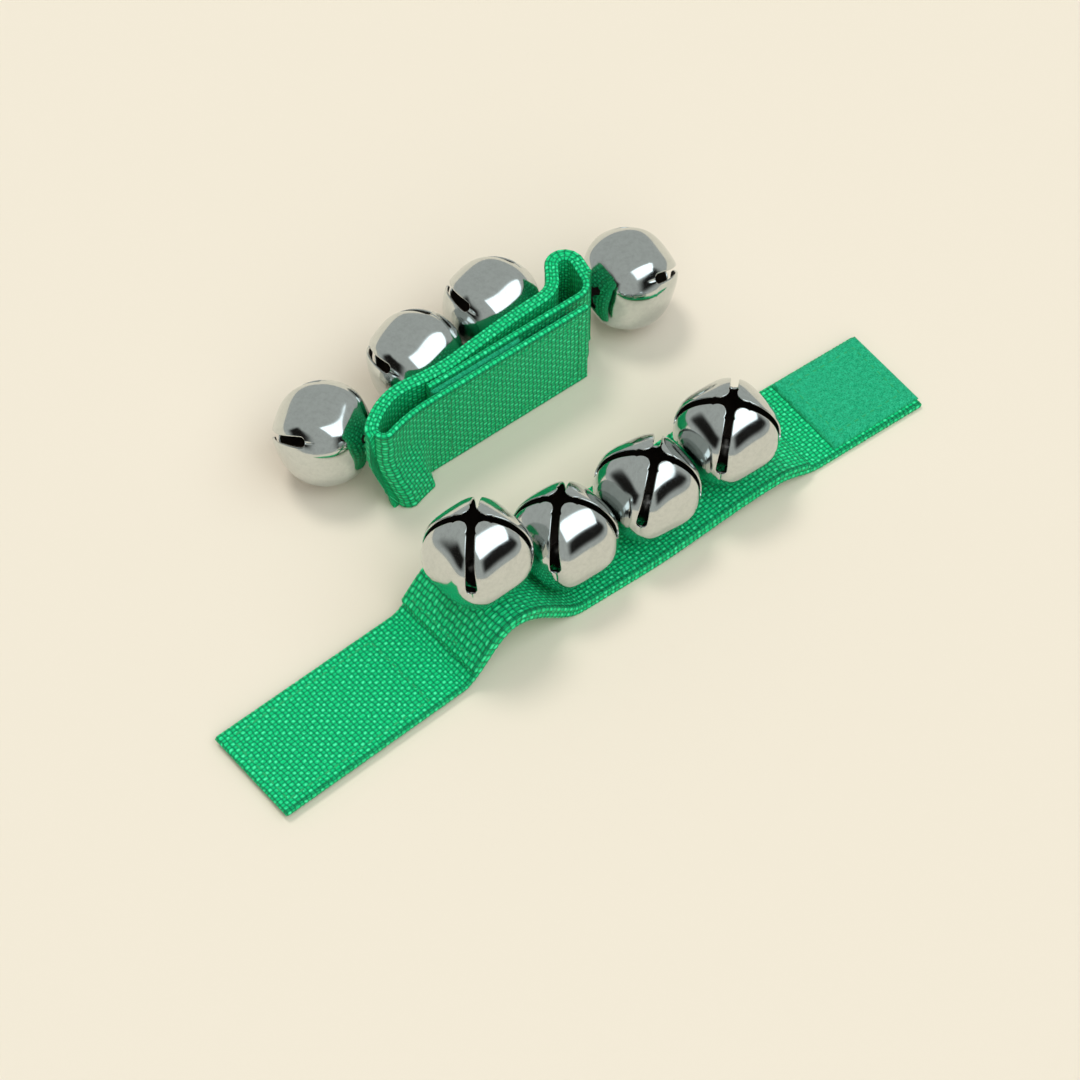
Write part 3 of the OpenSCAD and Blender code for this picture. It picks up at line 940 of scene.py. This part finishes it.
def rectangle(x0, x1, v0, v1):
    """The corners of a seam that goes once round a patch."""
    return [(x0, v0), (x1, v0), (x1, v1), (x0, v1), (x0, v0)]


def sewn_on(name, runs, node, body):
    piece = stitches(name, runs, THREAD)
    stands_for(piece, "thread", node)
    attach(piece, body)


HOOK_SEAM_INSET, PILE_SEAM_INSET, END_SEAM_HALF = 1.5, 3.0, 10.5
# The open band's pile patch sits this far off the middle of the webbing
PILE_SHIFT = 0.5


def open_band():
    profile = strap_profile(WEBBING_W, WEBBING_T)
    cuts = [HOOK_END_X] + OPEN_BELL_X + [PILE_END_X]
    joints = [
        ("open_hook_side", "open_hook_end", HOOK_FOLD_X),
        ("open_middle", "open_hook_side", FLEX_X[0]),
        ("open_middle", "open_pile_side", FLEX_X[1]),
        ("open_pile_side", "open_far_side", FLEX_X[2]),
        ("open_far_side", "open_pile_end", PILE_FOLD_X),
    ]
    base_nodes = [
        ["open_hook_tail"], ["open_webbing_1"], ["open_webbing_2"], ["open_webbing_3"],
        ["open_webbing_4", "open_pile_tail"],
    ]
    for i, (a, b, x) in enumerate(joints):
        ends = (cuts[i], cuts[i + 1])
        shape = {0: rounded_end(HOOK_END_X), 4: rounded_end(PILE_END_X)}.get(i)
        base = strap(f"open_base_{i + 1}", steps(*ends), open_frame, profile, WEBBING, shape=shape)
        stands_for(base, "webbing", *base_nodes[i])
        blend_at(base)
    strip_cuts = [STRIP_ENDS_X[0], OPEN_BELL_X[1], OPEN_BELL_X[2], STRIP_ENDS_X[1]]
    strip_nodes = [
        ["open_bell_strip_1", "open_bell_strip_2"], ["open_bell_strip_3"], ["open_bell_strip_4"],
    ]
    for i, (a, b, x) in enumerate(joints[1:4]):
        low, high = strip_cuts[i], strip_cuts[i + 1]
        shape = {0: rounded_end(low), 2: rounded_end(high)}.get(i)
        top = strap(
            f"open_strip_{i + 1}", steps(low, high), open_frame, profile, WEBBING,
            low=WEBBING_T, shape=shape,
        )
        stands_for(top, "webbing", *strip_nodes[i])
        blend_at(top)

    hook_x = HOOK_END_X + 1
    hook = patch(
        "open_hook_tape", hook_x, hook_x + HOOK_LEN, PATCH_W, 0.0, -PATCH_T, open_frame, HOOK, 0.15, 3
    )
    stands_for(hook, "hook_patch", "open_hook_patch")
    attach(hook, "open_hook_end")
    pile = patch(
        "open_pile_pad", PILE_END_X - PILE_LEN, PILE_END_X, PATCH_W, WEBBING_T, WEBBING_T + PATCH_T,
        open_frame, PILE, 0.45, 5, shift=PILE_SHIFT,
    )
    stands_for(pile, "pile_patch", "open_pile_patch")
    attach(pile, "open_pile_end")

    v = PATCH_W / 2 - HOOK_SEAM_INSET
    corners = rectangle(hook_x + HOOK_SEAM_INSET, hook_x + HOOK_LEN - HOOK_SEAM_INSET, -v, v)
    run = surface_run(open_frame, corners, WEBBING_T)
    sewn_on("open_hook_stitches", [run], "open_hook_stitching", "open_hook_end")
    v = PATCH_W / 2 - PILE_SEAM_INSET
    corners = rectangle(
        PILE_END_X - PILE_LEN + PILE_SEAM_INSET, PILE_END_X - PILE_SEAM_INSET, PILE_SHIFT - v, PILE_SHIFT + v
    )
    run = surface_run(open_frame, corners, WEBBING_T + PATCH_T)
    sewn_on("open_pile_stitches", [run], "open_pile_stitching", "open_pile_end")
    for i, x, body in (
        (1, STRIP_ENDS_X[0] + 1.8, "open_hook_side"),
        (4, STRIP_ENDS_X[1] - 1.8, "open_far_side"),
    ):
        run = surface_run(open_frame, [(x, -END_SEAM_HALF), (x, END_SEAM_HALF)], LAYERS_T)
        sewn_on(f"open_strip_stitches_{i}", [run], f"open_strip_stitching_{i}", body)


# The inner end stops this far short of the path's last point
END_GAP = 0.01


def flap_shape(s, v, h):
    """The flap's cut end, and further on the bulge of the fold."""
    return bulge(s, v, h) if s > 3 else rounded_end(0.0)(s, v, h)


def closed_band():
    profile = strap_profile(WEBBING_W, WEBBING_T)
    split = 58.0
    half = WEBBING_T / 2
    flap = strap(
        "closed_base_1", steps(0, split), closed_frame, profile, WEBBING, low=-half, shape=flap_shape,
    )
    stands_for(flap, "webbing", "closed_flap")
    point, along, _, _ = closed_frame(FLAP_FOLD_S)
    blend_at(flap)
    rest = strap(
        "closed_base_2", steps(split, LOOP_LEN - END_GAP), closed_frame, profile, WEBBING,
        low=-half, shape=bulge,
    )
    stands_for(rest, "webbing", "closed_loop")
    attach(rest, "closed_band")
    strip = strap(
        "closed_strip", steps(*STRIP_ENDS_S), closed_frame, profile, WEBBING,
        low=half, shape=bulge,
    )
    stands_for(strip, "webbing", "closed_bell_strip")
    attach(strip, "closed_band")

    hook = patch(
        "closed_hook_tape", 1, 1 + HOOK_LEN, PATCH_W, -half, -half - PATCH_T, closed_frame, HOOK, 0.1, 7
    )
    stands_for(hook, "hook_patch", "closed_hook_patch")
    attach(hook, "closed_flap_end")
    pile = patch(
        "closed_pile_pad", LOOP_LEN - PILE_LEN - END_GAP, LOOP_LEN - END_GAP, PATCH_W, half, half + PATCH_T,
        closed_frame, PILE, 0.2, 9,
    )
    stands_for(pile, "pile_patch", "closed_pile_patch")
    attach(pile, "closed_band")

    v = PATCH_W / 2 - HOOK_SEAM_INSET
    run = surface_run(closed_frame, rectangle(3.0, 40.0, -v, v), half)
    sewn_on("closed_hook_stitches", [run], "closed_hook_stitching", "closed_flap_end")
    runs = []
    for s in (STRIP_ENDS_S[0] + 1.1, STRIP_ENDS_S[1] - 1.1):
        _, along, _, up = closed_frame(s)
        across_s = [(s, -END_SEAM_HALF), (s, END_SEAM_HALF)]
        straight = surface_run(closed_frame, across_s, half + WEBBING_T, 0.75)
        run = []
        for v, (point, normal) in zip(steps(-END_SEAM_HALF, END_SEAM_HALF, 0.75), straight):
            _, out, forward = bulge(s, v, 0.0)
            run.append((point + up * out + along * forward, normal))
        runs.append(run)
    sewn_on("closed_strip_stitches", runs, "closed_strip_stitching", "closed_band")


def bells():
    mesh = bell_mesh("bell_shell")
    mesh.materials.append(NICKEL)
    mesh.materials.append(INSIDE)
    for group, matrix_of in (("open", open_bell_matrix), ("closed", closed_bell_matrix)):
        for i in range(4):
            shell = bpy.data.objects.new(f"{group}_bell_shell_{i + 1}", mesh.copy())
            bpy.context.scene.collection.objects.link(shell)
            shell.matrix_world = matrix_of(i)
            stands_for(shell, "bell", f"{group}_bell_{i + 1}")
            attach(shell, f"{group}_bell_{i + 1}_body")


def set_material(node, material):
    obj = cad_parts[node]
    obj.data.materials.clear()
    obj.data.materials.append(material)


open_band()
closed_band()
bells()
for group in ("open", "closed"):
    for i in range(1, 5):
        set_material(f"{group}_shank_{i}", NICKEL)
        set_material(f"{group}_pellet_{i}", STEEL)
for i in range(1, 5):
    set_material(f"open_keeper_{i}", CORD)
set_material("closed_keepers", CORD)

# The colours are meant to show as they are, without a film curve
bpy.context.scene.view_settings.view_transform = "Standard"
